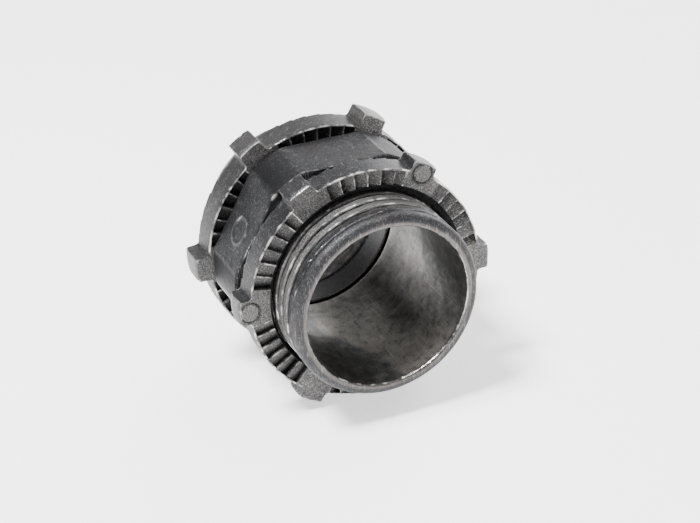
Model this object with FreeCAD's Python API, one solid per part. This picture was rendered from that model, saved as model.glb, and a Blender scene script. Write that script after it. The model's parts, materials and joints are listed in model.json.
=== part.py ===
import FreeCAD, Part
import math
import os

# Conduit compression connector, 3/4 in trade size, millimetres.
# +X runs along the fitting towards the box end and +Z is up.
# The origin is on the axis, in the front face of the hexagon, where a box wall seats.
# The fitting lies on its lugs: every six-sided pattern has a corner or lug on +Y.

# Radial sizes, from the conduit outwards
CONDUIT_OD = 23.42         # thin-wall conduit that the fitting grips
CONDUIT_CLEARANCE = 0.15   # conduit to socket wall
STOP_STEP = 0.41           # height of the shoulder that stops the conduit
NIPPLE_WALL = 1.75         # throat wall to thread crest
BOSS_WALL = 2.34           # socket wall to the crest of the compression thread
HEX_LEDGE = 1.30           # compression thread crest to the flat of the hexagon
HEX_CORNER_RISE = 1.07     # flat of the hexagon to its turned-off corners
LOCKNUT_BAND = 3.41        # locknut bore to its rim
LOCKNUT_LUG_HEIGHT = 1.44
NUT_BAND = 2.64            # compression nut bore to its rim
NUT_LUG_HEIGHT = 1.86
THREAD_CLEARANCE = 0.15    # crest to the mating thread's root, and flank to flank

# Sizes along the axis
NIPPLE_LENGTH = 12.90
LEAD_LENGTH = 0.90
HEX_LENGTH = 8.84
HEX_CHAMFER = 0.45
STOP_SETBACK = 1.00        # conduit stop behind the front face of the hexagon
WALL_GAP = 2.21            # hexagon to locknut as assembled
LOCKNUT_THICKNESS = 3.72
NUT_GAP = 0.49             # hexagon to compression nut as assembled
NUT_FLANGE = 4.50          # lugged part of the compression nut
BOSS_LENGTH = 5.50         # threaded boss behind the hexagon
RELIEF_LENGTH = 1.30       # plain neck between each thread and the hexagon

# Thread form: 14 turns to the inch, sixty-degree flanks, blunt cast crests
PITCH = 25.4 / 14
THREAD_DEPTH = 0.80
CREST_WIDTH = 0.75
FLANK_SLOPE = math.tan(math.radians(30))

# Split compression ring and the tapers that squeeze it
RING_WALL = 1.05
RING_BORE_CLEARANCE = 0.24  # conduit to ring while the ring is relaxed
RING_LENGTH = 4.00
RING_BEVEL_LENGTH = 1.20
RING_ENTRY = 1.00           # how far the ring reaches into the mouth of the boss
RING_SLOT = 1.40
TAPER_SLOPE = math.tan(math.radians(30))
TAPER_GAP = 0.37            # ring to the taper of the boss
SEAT_GAP = 0.15             # ring to the wall of the compression nut
LIP_CLEARANCE = 0.29        # conduit to the rear lip of the compression nut
LIP_LENGTH = 3.35
LIP_WALL = 0.85

# Lugs, ratchet teeth and marks
SIDES = 6
LUG_WIDTH = 3.50
LUG_ROOT_WIDTH = 5.20
LUG_EDGE = 0.35
TEETH_PER_GAP = 6
TOOTH_ANGLE = 7.05
FRONT_TOOTH_DEPTH = 0.95
BACK_TOOTH_DEPTH = 0.55
TOOTH_RIM = 0.26            # rim left outside the front teeth
BORE_MOUTH = 1.10           # widening of a nut's bore at its faces
DISC_DIAMETER = 2.50
DISC_HEIGHT = 0.15
NUT_TURN = 2.4              # the compression nut stands this far round, degrees
RING_MARK_DIAMETER = 4.30
RING_MARK_STROKE = 0.50
RING_MARK_HEIGHT = 0.18
RING_MARK_OFFSET = 1.10     # from the middle of its flat, round the hexagon

AXIS = FreeCAD.Vector(1, 0, 0)
ORIGIN = FreeCAD.Vector(0, 0, 0)
STEP_ANGLE = 360 / SIDES

# Radii that follow
conduit_r = CONDUIT_OD / 2
socket_r = conduit_r + CONDUIT_CLEARANCE
throat_r = socket_r - STOP_STEP
nipple_r = throat_r + NIPPLE_WALL
boss_r = socket_r + BOSS_WALL
hex_flat_r = boss_r + HEX_LEDGE
hex_corner_r = hex_flat_r + HEX_CORNER_RISE
locknut_bore_r = nipple_r + THREAD_CLEARANCE
locknut_rim_r = locknut_bore_r + LOCKNUT_BAND
nut_thread_r = boss_r + THREAD_CLEARANCE
nut_rim_r = nut_thread_r + NUT_BAND
ring_bore_r = conduit_r + RING_BORE_CLEARANCE
ring_r = ring_bore_r + RING_WALL
ring_nose_r = ring_r - RING_BEVEL_LENGTH * TAPER_SLOPE
lip_r = conduit_r + LIP_CLEARANCE

# Places along the axis that follow
hex_back = -HEX_LENGTH
boss_back = hex_back - BOSS_LENGTH
ring_front = boss_back + RING_ENTRY
ring_back = ring_front - RING_LENGTH
mouth_r = ring_nose_r + TAPER_GAP + RING_ENTRY * TAPER_SLOPE
nut_front = hex_back - NUT_GAP
flange_back = nut_front - NUT_FLANGE
seat_r = ring_r + SEAT_GAP
seat_taper_start = ring_back + RING_BEVEL_LENGTH
lip_front = seat_taper_start - (seat_r - lip_r) / TAPER_SLOPE
nut_back = lip_front - LIP_LENGTH
locknut_back = WALL_GAP
locknut_front = WALL_GAP + LOCKNUT_THICKNESS


def turned(points):
    """Solid of a closed outline of (x, radius) points turned about the axis."""
    wire = Part.makePolygon([FreeCAD.Vector(x, r, 0) for x, r in points + points[:1]])
    return Part.Face(wire).revolve(ORIGIN, AXIS, 360)


def rod(radius, start, end):
    return Part.makeCylinder(radius, end - start, FreeCAD.Vector(start, 0, 0), AXIS)


def round_axis(shape, degrees):
    """Copy of a shape turned about the fitting's axis."""
    copy = shape.copy()
    copy.rotate(ORIGIN, AXIS, degrees)
    return copy


def helical_cutter(inner_r, inner_width, outer_r, outer_width, start, end):
    """Right-hand helical bar of trapezoid section that covers start to end along the axis.

    Its phase is fixed to the front face of the hexagon, so that threads cut anywhere mesh.
    """
    first = math.floor(start / PITCH) * PITCH
    turns = math.ceil((end - first) / PITCH)
    helix = Part.makeHelix(PITCH, PITCH, (inner_r + outer_r) / 2)
    section = Part.makePolygon([
        FreeCAD.Vector(inner_r, 0, -inner_width / 2),
        FreeCAD.Vector(inner_r, 0, inner_width / 2),
        FreeCAD.Vector(outer_r, 0, outer_width / 2),
        FreeCAD.Vector(outer_r, 0, -outer_width / 2),
        FreeCAD.Vector(inner_r, 0, -inner_width / 2),
    ])
    one_turn = Part.Wire(helix.Edges).makePipeShell([section], True, True)
    one_turn.rotate(ORIGIN, FreeCAD.Vector(0, 1, 0), 90)
    bars = []
    for k in range(turns):
        bar = one_turn.copy()
        bar.translate(FreeCAD.Vector(first + k * PITCH, 0, 0))
        bars.append(bar)
    return bars[0].multiFuse(bars[1:])


def external_groove(crest_r, start, end):
    """Cutter for the groove of a male thread."""
    root_r = crest_r - THREAD_DEPTH
    opening = PITCH - CREST_WIDTH
    root_width = opening - 2 * THREAD_DEPTH * FLANK_SLOPE
    overshoot = 0.2
    widened = opening + 2 * overshoot * FLANK_SLOPE
    return helical_cutter(root_r, root_width, crest_r + overshoot, widened, start, end)


def hexagon(flat_r, start, end):
    """Six-sided prism with a corner on +Y."""
    corner_r = flat_r / math.cos(math.pi / SIDES)
    corners = [
        FreeCAD.Vector(start, corner_r * math.cos(a), corner_r * math.sin(a))
        for a in (2 * math.pi * k / SIDES for k in range(SIDES + 1))
    ]
    return Part.Face(Part.makePolygon(corners)).extrude(FreeCAD.Vector(end - start, 0, 0))


def ring_mark():
    """Plain raised ring on one flat of the hexagon."""
    place = FreeCAD.Vector(hex_back / 2, -RING_MARK_OFFSET, hex_flat_r - 0.3)
    up = FreeCAD.Vector(0, 0, 1)
    height = RING_MARK_HEIGHT + 0.3
    outside = Part.makeCylinder(RING_MARK_DIAMETER / 2, height, place, up)
    inside = Part.makeCylinder(RING_MARK_DIAMETER / 2 - RING_MARK_STROKE, height, place, up)
    return round_axis(outside.cut(inside), STEP_ANGLE)


def connector_body():
    """Hexagon with the threaded nipple in front and the threaded, tapered boss behind."""
    neck_r = nipple_r - THREAD_DEPTH - 0.1
    rear_neck_r = boss_r - THREAD_DEPTH - 0.1
    nipple = turned([
        (-1, 0),
        (-1, neck_r),
        (RELIEF_LENGTH, neck_r),
        (RELIEF_LENGTH + THREAD_DEPTH * FLANK_SLOPE, nipple_r),
        (NIPPLE_LENGTH - LEAD_LENGTH, nipple_r),
        (NIPPLE_LENGTH, nipple_r - THREAD_DEPTH),
        (NIPPLE_LENGTH, 0),
    ])
    boss = turned([
        (hex_back + 1, 0),
        (hex_back + 1, rear_neck_r),
        (hex_back - RELIEF_LENGTH, rear_neck_r),
        (hex_back - RELIEF_LENGTH - THREAD_DEPTH * FLANK_SLOPE, boss_r),
        (boss_back + THREAD_DEPTH / 2, boss_r),
        (boss_back, boss_r - THREAD_DEPTH / 2),
        (boss_back, 0),
    ])
    nipple = nipple.cut(external_groove(nipple_r, RELIEF_LENGTH, NIPPLE_LENGTH + PITCH))
    boss = boss.cut(external_groove(boss_r, boss_back - PITCH, hex_back - RELIEF_LENGTH / 2))
    corner_turning = turned([
        (hex_back, 0),
        (hex_back, hex_corner_r - HEX_CHAMFER),
        (hex_back + HEX_CHAMFER, hex_corner_r),
        (-HEX_CHAMFER, hex_corner_r),
        (0, hex_corner_r - HEX_CHAMFER),
        (0, 0),
    ])
    middle = hexagon(hex_flat_r, hex_back, 0).common(corner_turning)
    hollow = turned([
        (NIPPLE_LENGTH + 1, 0),
        (NIPPLE_LENGTH + 1, throat_r + 0.35),
        (NIPPLE_LENGTH, throat_r + 0.35),
        (NIPPLE_LENGTH - 0.5, throat_r),
        (-STOP_SETBACK, throat_r),
        (-STOP_SETBACK, socket_r),
        (boss_back + (mouth_r - socket_r) / TAPER_SLOPE, socket_r),
        (boss_back, mouth_r),
        (boss_back - 1, mouth_r),
        (boss_back - 1, 0),
    ])
    return nipple.fuse(middle).fuse(boss).cut(hollow).fuse(ring_mark()).removeSplitter()


def lug(rim_r, tip_r, back, front):
    """One lug on +Y, wider at its root, with its outer edges broken."""
    base_r = rim_r - 1.0
    half_root = LUG_ROOT_WIDTH / 2
    half_tip = LUG_WIDTH / 2
    outline = Part.makePolygon([
        FreeCAD.Vector(back, base_r, -half_root),
        FreeCAD.Vector(back, rim_r, -half_tip - 0.35),
        FreeCAD.Vector(back, tip_r, -half_tip),
        FreeCAD.Vector(back, tip_r, half_tip),
        FreeCAD.Vector(back, rim_r, half_tip + 0.35),
        FreeCAD.Vector(back, base_r, half_root),
        FreeCAD.Vector(back, base_r, -half_root),
    ])
    block = Part.Face(outline).extrude(FreeCAD.Vector(front - back, 0, 0))
    envelope = turned([
        (back, 0),
        (back, tip_r - LUG_EDGE),
        (back + LUG_EDGE, tip_r),
        (front - LUG_EDGE, tip_r),
        (front, tip_r - LUG_EDGE),
        (front, 0),
    ])
    return block.common(envelope)


def ratchet_cutter(near_r, far_r, face, depth, outward):
    """Sawtooth cutter for the gap after the lug on +Y, open past the face.

    Each tooth rises square and falls away as the angle grows. outward is +1 or -1 along X.
    """
    middle = math.radians(STEP_ANGLE / 2)
    tooth = math.radians(TOOTH_ANGLE)
    start = -tooth * TEETH_PER_GAP / 2
    clear = face + outward

    def section(distance):
        across = [(start, clear)]
        for k in range(TEETH_PER_GAP):
            low = start + (k + 1) * tooth
            across += [(low - tooth, face), (low, face - outward * depth)]
        across += [(start + TEETH_PER_GAP * tooth, clear)]
        points = [FreeCAD.Vector(x, distance, distance * math.tan(a)) for a, x in across]
        return Part.makePolygon(points + points[:1])

    cutter = Part.makeLoft([section(near_r), section(far_r)], True, True)
    return round_axis(cutter, math.degrees(middle))


def cut_ratchets(blank, near_r, rim_r, face, depth, outward):
    """Cut all the gaps of one face, from the bore out to rim_r."""
    one = ratchet_cutter(near_r * 0.8, rim_r * 1.2, face, depth, outward)
    band = rod(rim_r, face - 2, face + 2).cut(rod(near_r - 0.5, face - 2, face + 2))
    one = one.common(band)
    cutters = [round_axis(one, k * STEP_ANGLE) for k in range(SIDES)]
    return blank.cut(Part.makeCompound(cutters))


def lugged_ring(rim_r, tip_r, back, front):
    """Plain disc with its six lugs, before the bore and teeth are cut."""
    ring = rod(rim_r, back, front)
    one = lug(rim_r, tip_r, back, front)
    return ring.multiFuse([round_axis(one, k * STEP_ANGLE) for k in range(SIDES)])


def locknut():
    """Lugged nut on the nipple, toothed on both faces, with ejector marks on three lugs."""
    tip_r = locknut_rim_r + LOCKNUT_LUG_HEIGHT
    blank = lugged_ring(locknut_rim_r, tip_r, locknut_back, locknut_front)
    blank = cut_ratchets(
        blank, locknut_bore_r, locknut_rim_r - TOOTH_RIM, locknut_front, FRONT_TOOTH_DEPTH, 1)
    blank = cut_ratchets(
        blank, locknut_bore_r, locknut_rim_r + 1, locknut_back, BACK_TOOTH_DEPTH, -1)
    marks = []
    for k in range(0, SIDES, 2):
        place = FreeCAD.Vector(locknut_front - 0.3, locknut_rim_r, 0)
        disc = Part.makeCylinder(DISC_DIAMETER / 2, DISC_HEIGHT + 0.3, place, AXIS)
        marks.append(round_axis(disc, (k + 1) * STEP_ANGLE))
    blank = blank.multiFuse(marks)
    half_mouth = BORE_MOUTH / 2
    bore = turned([
        (locknut_back - 1, 0),
        (locknut_back - 1, locknut_bore_r + half_mouth),
        (locknut_back, locknut_bore_r + half_mouth),
        (locknut_back + half_mouth, locknut_bore_r),
        (locknut_front - BORE_MOUTH * 0.8, locknut_bore_r),
        (locknut_front, locknut_bore_r + BORE_MOUTH),
        (locknut_front + 1, locknut_bore_r + BORE_MOUTH),
        (locknut_front + 1, 0),
    ])
    groove = helical_cutter(
        locknut_bore_r - 0.1, PITCH * 0.6, locknut_bore_r + THREAD_DEPTH * 0.7, PITCH * 0.2,
        locknut_back - PITCH, locknut_front + PITCH)
    return blank.cut(bore).cut(groove)


def compression_nut():
    """Lugged nut on the boss, with the tapered collar that squeezes the split ring."""
    tip_r = nut_rim_r + NUT_LUG_HEIGHT
    flange = lugged_ring(nut_rim_r, tip_r, flange_back, nut_front)
    collar_r = nut_rim_r - NUT_BAND / 2
    flange = cut_ratchets(
        flange, nut_thread_r, nut_rim_r - TOOTH_RIM, nut_front, FRONT_TOOTH_DEPTH, 1)
    flange = cut_ratchets(
        flange, collar_r, nut_rim_r + 1, flange_back, BACK_TOOTH_DEPTH, -1)
    flange = round_axis(flange, NUT_TURN)
    collar = turned([
        (flange_back + 1, 0),
        (flange_back + 1, collar_r),
        (flange_back - 0.4, collar_r),
        (nut_back + 0.3, lip_r + LIP_WALL),
        (nut_back, lip_r + LIP_WALL - 0.3),
        (nut_back, 0),
    ])
    engaged_r = nut_thread_r - 0.60
    cavity_front = boss_back - 0.6
    step = nut_thread_r + 0.15 - seat_r
    bore = turned([
        (nut_front + 1, 0),
        (nut_front + 1, nut_thread_r + 0.3),
        (nut_front, nut_thread_r + 0.3),
        (nut_front - 0.9, engaged_r),
        (boss_back + 0.3, engaged_r),
        (boss_back + 0.3, nut_thread_r + 0.15),
        (cavity_front, nut_thread_r + 0.15),
        (cavity_front - step * 0.5, seat_r),
        (seat_taper_start, seat_r),
        (lip_front, lip_r),
        (nut_back + 0.3, lip_r),
        (nut_back, lip_r + 0.3),
        (nut_back - 1, lip_r + 0.3),
        (nut_back - 1, 0),
    ])
    flank_gap = 2 * THREAD_CLEARANCE / math.cos(math.radians(30))
    root_width = CREST_WIDTH + flank_gap - 2 * THREAD_CLEARANCE * FLANK_SLOPE
    cutter_r = engaged_r - 0.08
    cutter_width = root_width + 2 * (nut_thread_r - cutter_r) * FLANK_SLOPE
    groove = helical_cutter(
        cutter_r, cutter_width, nut_thread_r, root_width, boss_back - PITCH, nut_front + PITCH)
    groove.translate(FreeCAD.Vector(PITCH / 2, 0, 0))
    groove = groove.common(rod(nut_rim_r, boss_back, nut_front + 2 * PITCH))
    return flange.fuse(collar).cut(bore).cut(groove).removeSplitter()


def compression_ring():
    """Split ring, bevelled at both ends."""
    ring = turned([
        (ring_front, ring_bore_r),
        (ring_front, ring_nose_r),
        (ring_front - RING_BEVEL_LENGTH, ring_r),
        (ring_back + RING_BEVEL_LENGTH, ring_r),
        (ring_back, ring_nose_r),
        (ring_back, ring_bore_r),
    ])
    slot = Part.makeBox(RING_LENGTH + 2, RING_SLOT, ring_r + 1,
                        FreeCAD.Vector(ring_back - 1, -RING_SLOT / 2, 0))
    return ring.cut(slot)


def write(name, shape):
    """Check one solid and write it as a sub-part."""
    solids = shape.Solids
    if len(solids) != 1 or not shape.isValid():
        raise RuntimeError(f"{name}: {len(solids)} solids, valid {shape.isValid()}")
    solids[0].exportStep(f"parts/{name}.step")
    print(name, round(solids[0].Volume, 1), solids[0].BoundBox)


os.makedirs("parts", exist_ok=True)
write("connector_body", connector_body())
write("locknut", locknut())
write("compression_nut", compression_nut())
write("compression_ring", compression_ring())
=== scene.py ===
"""Conduit compression connector: cast zinc body, lugged nuts and split ring, with a plain studio round them.

Lengths inside the classes are millimetres. +X runs along the fitting towards the threaded nipple, +Z is up,
and angles round the fitting start at +Y and grow towards +Z.
"""

import json
import logging
import math
from dataclasses import dataclass
from enum import Enum

import bpy
import numpy as np
from mathutils import Matrix, Vector


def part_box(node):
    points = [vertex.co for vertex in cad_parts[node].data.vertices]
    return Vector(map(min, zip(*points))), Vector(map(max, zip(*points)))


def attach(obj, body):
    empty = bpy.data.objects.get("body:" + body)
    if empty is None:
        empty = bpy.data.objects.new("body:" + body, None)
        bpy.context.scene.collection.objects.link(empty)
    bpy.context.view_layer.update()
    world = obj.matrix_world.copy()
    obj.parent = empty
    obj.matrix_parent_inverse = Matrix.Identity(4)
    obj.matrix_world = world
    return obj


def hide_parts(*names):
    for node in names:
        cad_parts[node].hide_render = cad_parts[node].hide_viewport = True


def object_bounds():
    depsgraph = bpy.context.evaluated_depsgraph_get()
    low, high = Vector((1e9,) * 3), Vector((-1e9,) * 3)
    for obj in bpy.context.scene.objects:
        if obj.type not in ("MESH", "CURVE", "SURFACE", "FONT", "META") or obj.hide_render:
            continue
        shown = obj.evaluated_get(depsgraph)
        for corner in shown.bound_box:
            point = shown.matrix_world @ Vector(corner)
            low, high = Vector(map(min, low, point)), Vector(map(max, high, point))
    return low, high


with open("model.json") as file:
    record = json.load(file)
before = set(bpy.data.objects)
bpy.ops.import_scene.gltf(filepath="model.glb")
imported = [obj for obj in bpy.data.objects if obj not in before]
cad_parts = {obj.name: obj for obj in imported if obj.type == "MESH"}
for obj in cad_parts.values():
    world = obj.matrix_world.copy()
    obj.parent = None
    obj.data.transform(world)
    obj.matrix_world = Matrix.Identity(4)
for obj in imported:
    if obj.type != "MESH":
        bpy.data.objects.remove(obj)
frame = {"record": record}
CAD_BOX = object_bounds()

MM = 0.001
SIDES = 6
SECTOR = 60.0
WAVES = 14
LOG = logging.getLogger("connector")

Array = np.ndarray
Rows = tuple[Array, Array, dict[str, Array]]   # x, radius and marks as (columns, rows) arrays


# ---------------- sizes from the frame


@dataclass(frozen=True)
class NodeBox:
    """Where a CAD node lies, in millimetres: its two ends along X and its reach along +Y and +Z."""

    back: float
    front: float
    side: float
    top: float

    @classmethod
    def of(cls, node: str) -> "NodeBox":
        """Read one node's box.

        Args:
            node: Name of the CAD node.

        Returns:
            Its box.
        """
        low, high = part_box(node)
        return cls(low.x / MM, high.x / MM, high.y / MM, high.z / MM)


def mount_radius(name: str) -> float:
    """Radius in millimetres of one of the record's mounts."""
    return next(mount["dims"]["r_mm"] for mount in frame["record"]["mounts"] if mount["name"] == name)


BODY = NodeBox.of("connector_body")
LOCK = NodeBox.of("locknut")
NUT = NodeBox.of("compression_nut")
RING = NodeBox.of("compression_ring")
SLOPE = math.tan(math.radians(30))  # of the tapers and of the threads' flanks
THREAD_CLEARANCE = 0.15  # a nut's bore to the crests, and flank to flank
NUT_THREAD = 0.60  # height of the compression nut's thread, inward from its bore
RING_WALL = 1.05
RING_BEVEL = 1.20
RING_ENTRY = RING.front - BODY.back  # how far the split ring reaches into the boss
TAPER_GAP = 0.37  # ring to the boss's taper
SEAT_GAP = 0.15  # ring to the compression nut's wall
LIP_CLEARANCE = 0.05  # added to the radius of the ring's bore for the nut's lip
HEX_LEDGE = 1.30  # boss to the hexagon's flats
NUT_GAP = 0.49  # hexagon to the compression nut
NUT_LUG_HEIGHT = 1.86
NUT_FLANGE = 4.50
NUT_TURN = 2.4  # degrees that the compression nut stands round
DISC_HEIGHT = 0.15  # the frame's ejector marks above the locknut's face


# ---------------- shapes


def smooth(value: Array, low: float, high: float) -> Array:
    """Smoothstep: 0 below low, 1 above high, and 3t^2 - 2t^3 between."""
    t = np.clip((value - low) / (high - low), 0.0, 1.0)
    return t * t * (3.0 - 2.0 * t)


def bump_at(value: Array, centre: float, width: float) -> Array:
    """Bell exp(-((value - centre) / width)^2), used to mark a line on a surface."""
    return np.exp(-(((value - centre) / width) ** 2))


def spread(*stops: tuple[float, int]) -> Array:
    """Rows between stops.

    Args:
        stops: (position, steps to the next stop); the last one's steps are ignored.

    Returns:
        Positions that divide each stretch evenly, the last stop included.
    """
    parts = [np.linspace(a, b, n, endpoint=False) for (a, n), (b, _) in zip(stops, stops[1:])]
    return np.concatenate(parts + [np.array([stops[-1][0]])])


def waves(points: Array, size: float, seed: int) -> Array:
    """Smooth unevenness: a sum of sine waves with seeded directions and phases.

    Args:
        points: (..., 3) positions in millimetres.
        size: Typical length of an undulation in millimetres.
        seed: Seed of the directions.

    Returns:
        Values of about -1 to 1.
    """
    rng = np.random.default_rng(seed)
    total = np.zeros(points.shape[:-1])
    for _ in range(WAVES):
        direction = rng.normal(size=3)
        direction *= rng.uniform(0.6, 1.5) / np.linalg.norm(direction)
        total += np.sin(points @ direction * (2.0 * math.pi / size) + rng.uniform(0, 2.0 * math.pi))
    return total / math.sqrt(WAVES)


@dataclass
class Skin:
    """A closed surface of rows carried round the axis, as whole (columns, rows) arrays.

    Marks are numbers of 0 to 1 for each point that the finishes read, in the order of MARKS: metal worn
    bright together with painted highlights on edges; painted shade in grooves, recesses and on sides turned
    from the light;
    grit, the grain of the casting; pale, a washed-out patch that in places carries painted reflections and
    highlights;
    warm, a brownish one; and bore, the smooth wall left by a core.
    """

    angle: Array
    x: Array
    r: Array
    marks: dict[str, Array]

    def points(self) -> Array:
        """Positions: angle and radius as polar coordinates about the X axis."""
        return np.stack([self.x, self.r * np.cos(self.angle), self.r * np.sin(self.angle)], axis=-1)

    def mark(self, rows: Array, **values: Array | float) -> None:
        """Set marks on some of the rows."""
        for label, value in values.items():
            self.marks[label][:, rows] = value


MARKS = ("wear", "hollow", "grit", "pale", "warm", "bore")


def grid_quads(columns: int, rows: int, wrap_columns: bool) -> Array:
    """Quads of a grid whose rows close on themselves, facing away from the section's inside.

    Args:
        columns: Number of columns round the axis.
        rows: Number of rows round the section.
        wrap_columns: Whether the last column joins the first.

    Returns:
        (faces, 4) vertex numbers.
    """
    index = np.arange(columns * rows).reshape(columns, rows)
    right = np.roll(index, -1, axis=0)
    if not wrap_columns:
        index, right = index[:-1], right[:-1]
    quads = np.stack([index, right, np.roll(right, -1, axis=1), np.roll(index, -1, axis=1)], axis=-1)
    return quads.reshape(-1, 4)


def new_object(name: str, data: bpy.types.ID) -> bpy.types.Object:
    """Object at the origin, linked to the scene."""
    item = bpy.data.objects.new(name, data)
    bpy.context.scene.collection.objects.link(item)
    return item


def make_piece(name: str, node: str, skin: Skin, quads: Array, caps: list[list[int]],
               sharp_angle: float) -> bpy.types.Object:
    """Put a finished surface into a mesh object at the origin, with its marks as attributes.

    Args:
        name: Name of the object.
        node: CAD node whose box it keeps inside.
        skin: The surface.
        quads: (faces, 4) vertex numbers.
        caps: Extra polygons that close the ends of an open grid.
        sharp_angle: Angle in degrees above which an edge is shaded sharp.

    Returns:
        The new object, linked to the scene.
    """
    mesh = bpy.data.meshes.new(name)
    faces = quads.tolist() + caps
    low, high = (np.array(corner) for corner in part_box(node))
    points = np.clip(skin.points().reshape(-1, 3) * MM, low, high)
    mesh.from_pydata(points.tolist(), [], faces)
    for label in MARKS:
        values = np.broadcast_to(skin.marks.get(label, 0.0), skin.x.shape)
        layer = mesh.attributes.new(label, "FLOAT", "POINT")
        layer.data.foreach_set("value", np.clip(values, 0, 1).astype(np.float32).ravel())
    mesh.polygons.foreach_set("use_smooth", np.ones(len(faces), dtype=bool))
    mesh.update()
    mesh.set_sharp_from_angle(angle=math.radians(sharp_angle))
    return new_object(name, mesh)


def cast_unevenness(points: Array, seed: int) -> Array:
    """Displacement of a rough casting, in millimetres: broad undulations plus a finer orange peel."""
    return waves(points, 7.0, seed) * 0.035 + waves(points, 1.3, seed + 1) * 0.010


def groove_depth(distance: Array, root: float, opening: float) -> Array:
    """Depth of a trapezoid groove, 1 on its root and 0 outside its opening."""
    return np.clip((opening / 2 - np.abs(distance)) / (opening / 2 - root / 2), 0.0, 1.0)


# ---------------- shader expressions


class Graph:
    """A node tree, with one method that makes any node."""

    def __init__(self, tree: bpy.types.NodeTree) -> None:
        """Take a tree and empty it."""
        tree.nodes.clear()
        self.tree = tree

    def node(self, kind: str, settings: dict | None = None, sockets: dict | None = None,
             out: int | str = 0) -> "Value":
        """Make one node.

        Args:
            kind: Blender's node type.
            settings: Properties, set before the sockets.
            sockets: Input name or number to a number, a tuple or another Value.
            out: Name or number of the output to hand on.

        Returns:
            The output, ready for use in an expression.
        """
        node = self.tree.nodes.new(kind)
        for key, setting in (settings or {}).items():
            setattr(node, key, setting)
        for key, value in (sockets or {}).items():
            self.feed(node.inputs[key], value)
        return Value(self, node.outputs[out])

    def feed(self, socket: bpy.types.NodeSocket, value: "Value | float | tuple") -> None:
        """Link a Value to a socket, or set the socket's own number or colour."""
        if isinstance(value, Value):
            self.tree.links.new(value.socket, socket)
        else:
            socket.default_value = value


class MaterialGraph(Graph):
    """A material's tree, with its Principled shader and the nodes that feed it."""

    def __init__(self, name: str) -> None:
        """Start a material.

        Args:
            name: Name of the material.
        """
        self.material = bpy.data.materials.new(name)
        self.material.use_nodes = True
        super().__init__(self.material.node_tree)
        self.shader = self.tree.nodes.new("ShaderNodeBsdfPrincipled")
        output = self.tree.nodes.new("ShaderNodeOutputMaterial")
        self.tree.links.new(self.shader.outputs[0], output.inputs["Surface"])

    def blend(self, factor: "Value | float", first: "Value | tuple", second: "Value | tuple") -> "Value":
        """Colour that goes from first to second as factor goes from 0 to 1."""
        return self.node("ShaderNodeMix", {"data_type": "RGBA"}, {0: factor, 6: first, 7: second}, out=2)

    def noise(self, size_mm: float, detail: float = 3.0, rough: float = 0.5,
              stretch: tuple | None = None) -> "Value":
        """Noise on Object coordinates.

        Args:
            size_mm: Typical size of a feature.
            detail: How many finer layers it has.
            rough: How strong each finer layer is.
            stretch: Scale of each coordinate, less than 1 to draw features out along it.

        Returns:
            The noise, 0 to 1.
        """
        place = self.node("ShaderNodeTexCoord", out="Object")
        if stretch is not None:
            place = self.node("ShaderNodeMapping", {}, {"Vector": place, "Scale": stretch})
        return self.node("ShaderNodeTexNoise", {}, {
            "Vector": place, "Scale": 1.0 / (size_mm * MM), "Detail": detail, "Roughness": rough})

    def mark(self, name: str) -> "Value":
        """A point attribute of the mesh as a number."""
        return self.node("ShaderNodeAttribute", {"attribute_name": name}, {}, out="Fac")

    def set_shader(self, **sockets: "Value | float | tuple") -> None:
        """Feed the Principled shader; underscores in the names stand for spaces."""
        for key, value in sockets.items():
            self.feed(self.shader.inputs[key.replace("_", " ")], value)


class Value:
    """One output socket that can be used in Python arithmetic."""

    def __init__(self, graph: Graph, socket: bpy.types.NodeSocket) -> None:
        """Keep the graph and the socket."""
        self.graph = graph
        self.socket = socket

    def math(self, operation: str, first: "Value | float", second: "Value | float") -> "Value":
        """One Math node."""
        return self.graph.node("ShaderNodeMath", {"operation": operation}, {0: first, 1: second})

    def __add__(self, other: "Value | float") -> "Value":
        """Sum."""
        return self.math("ADD", self, other)

    __radd__ = __add__

    def __sub__(self, other: "Value | float") -> "Value":
        """Difference."""
        return self.math("SUBTRACT", self, other)

    def __rsub__(self, other: float) -> "Value":
        """Difference with a number on the left."""
        return self.math("SUBTRACT", other, self)

    def __mul__(self, other: "Value | float") -> "Value":
        """Product."""
        return self.math("MULTIPLY", self, other)

    def ramp(self, low: float, high: float) -> "Value":
        """Smooth step from 0 at low to 1 at high."""
        return self.graph.node("ShaderNodeMapRange", {"interpolation_type": "SMOOTHSTEP"},
                               {"Value": self, "From Min": low, "From Max": high})


# ---------------- finishes


class Tone(Enum):
    """Ground colour of a casting."""

    BODY = (0.046, 0.047, 0.052)
    NUT = (0.060, 0.059, 0.062)


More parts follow.
